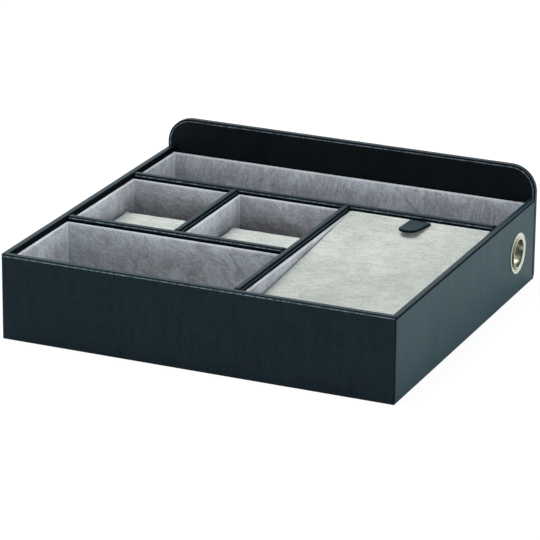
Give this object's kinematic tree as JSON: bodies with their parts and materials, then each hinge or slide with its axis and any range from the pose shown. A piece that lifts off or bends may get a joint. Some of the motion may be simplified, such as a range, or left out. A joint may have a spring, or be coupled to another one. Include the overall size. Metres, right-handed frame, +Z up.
{
  "type": "desk charging station",
  "caption": "Leather covered desk charging station: open suede lined trays, raised-floor pockets, a lift-out sloping lid with a pull tab, a tall back panel and a side cable grommet.",
  "frame": {"origin": "middle of the outer box, on the desk under the felt base", "axes": "+X to the grommet side, right of a user at the front; +Y to the tall back panel; +Z up"},
  "size_m": [0.3064, 0.285, 0.089],
  "materials": {
    "leather": "fine grained, semi-matt, near black with a slate blue cast",
    "suede_grey": "brushed suede on card",
    "suede_pale": "pale brushed suede",
    "fibreboard": "raw medium density fibreboard",
    "felt": "black felt",
    "nickel": "polished nickel"
  },
  "bodies": {
    "tray": {"front_board": "fibreboard", "left_board": "fibreboard", "right_board": "fibreboard", "back_board": "fibreboard", "base_board": "fibreboard", "rear_divider_board": "fibreboard", "bay_divider_board": "fibreboard", "cross_divider_board": "fibreboard", "pocket_divider_board": "fibreboard", "front_cover": "leather", "left_cover": "leather", "right_cover": "leather", "back_cover": "leather", "base_felt": "felt", "rear_divider_cover": "leather", "bay_divider_cover": "leather", "cross_divider_cover": "leather", "pocket_divider_cover": "leather", "front_tray_liner_front": "suede_grey", "front_tray_liner_back": "suede_grey", "front_tray_liner_left": "suede_grey", "front_tray_liner_right": "suede_grey", "left_pocket_liner_front": "suede_grey", "left_pocket_liner_back": "suede_grey", "left_pocket_liner_left": "suede_grey", "left_pocket_liner_right": "suede_grey", "right_pocket_liner_front": "suede_grey", "right_pocket_liner_back": "suede_grey", "right_pocket_liner_left": "suede_grey", "right_pocket_liner_right": "suede_grey", "rear_tray_liner_front": "suede_grey", "rear_tray_liner_back": "suede_grey", "rear_tray_liner_left": "suede_grey", "rear_tray_liner_right": "suede_grey", "bay_liner_front": "suede_grey", "bay_liner_back": "suede_grey", "bay_liner_left": "suede_grey", "bay_liner_right": "suede_grey", "front_tray_floor": "suede_pale", "rear_tray_floor": "suede_pale", "bay_floor": "suede_pale", "left_pocket_battens": "fibreboard", "right_pocket_battens": "fibreboard", "lid_rails": "fibreboard", "grommet_ring": "nickel", "grommet_washer": "nickel"},
    "lid": {"lid_board": "fibreboard", "lid_suede": "suede_pale", "pull_tab_root": "leather"},
    "pull_tab": {"pull_tab_flap": "leather"},
    "left_pocket_floor": {"left_pocket_floor_board": "fibreboard", "left_pocket_pad": "suede_pale"},
    "right_pocket_floor": {"right_pocket_floor_board": "fibreboard", "right_pocket_pad": "suede_pale"}
  },
  "joints": [
    {"name": "lid_lift", "type": "slide", "parent": "tray", "child": "lid", "axis": [0, 0, 1], "range_m": [0, 0.06]},
    {"name": "pull_tab_flex", "type": "hinge", "parent": "lid", "child": "pull_tab", "pos_m": [0.09105, 0.05271, 0.06356], "axis": [-0.9981, 0.061, 0], "range_deg": [0, 80], "stiffness_Nm_per_rad": 0.01},
    {"name": "left_floor_lift", "type": "slide", "parent": "tray", "child": "left_pocket_floor", "axis": [0, 0, 1], "range_m": [0, 0.05]},
    {"name": "right_floor_lift", "type": "slide", "parent": "tray", "child": "right_pocket_floor", "axis": [0, 0, 1], "range_m": [0, 0.05]}
  ]
}
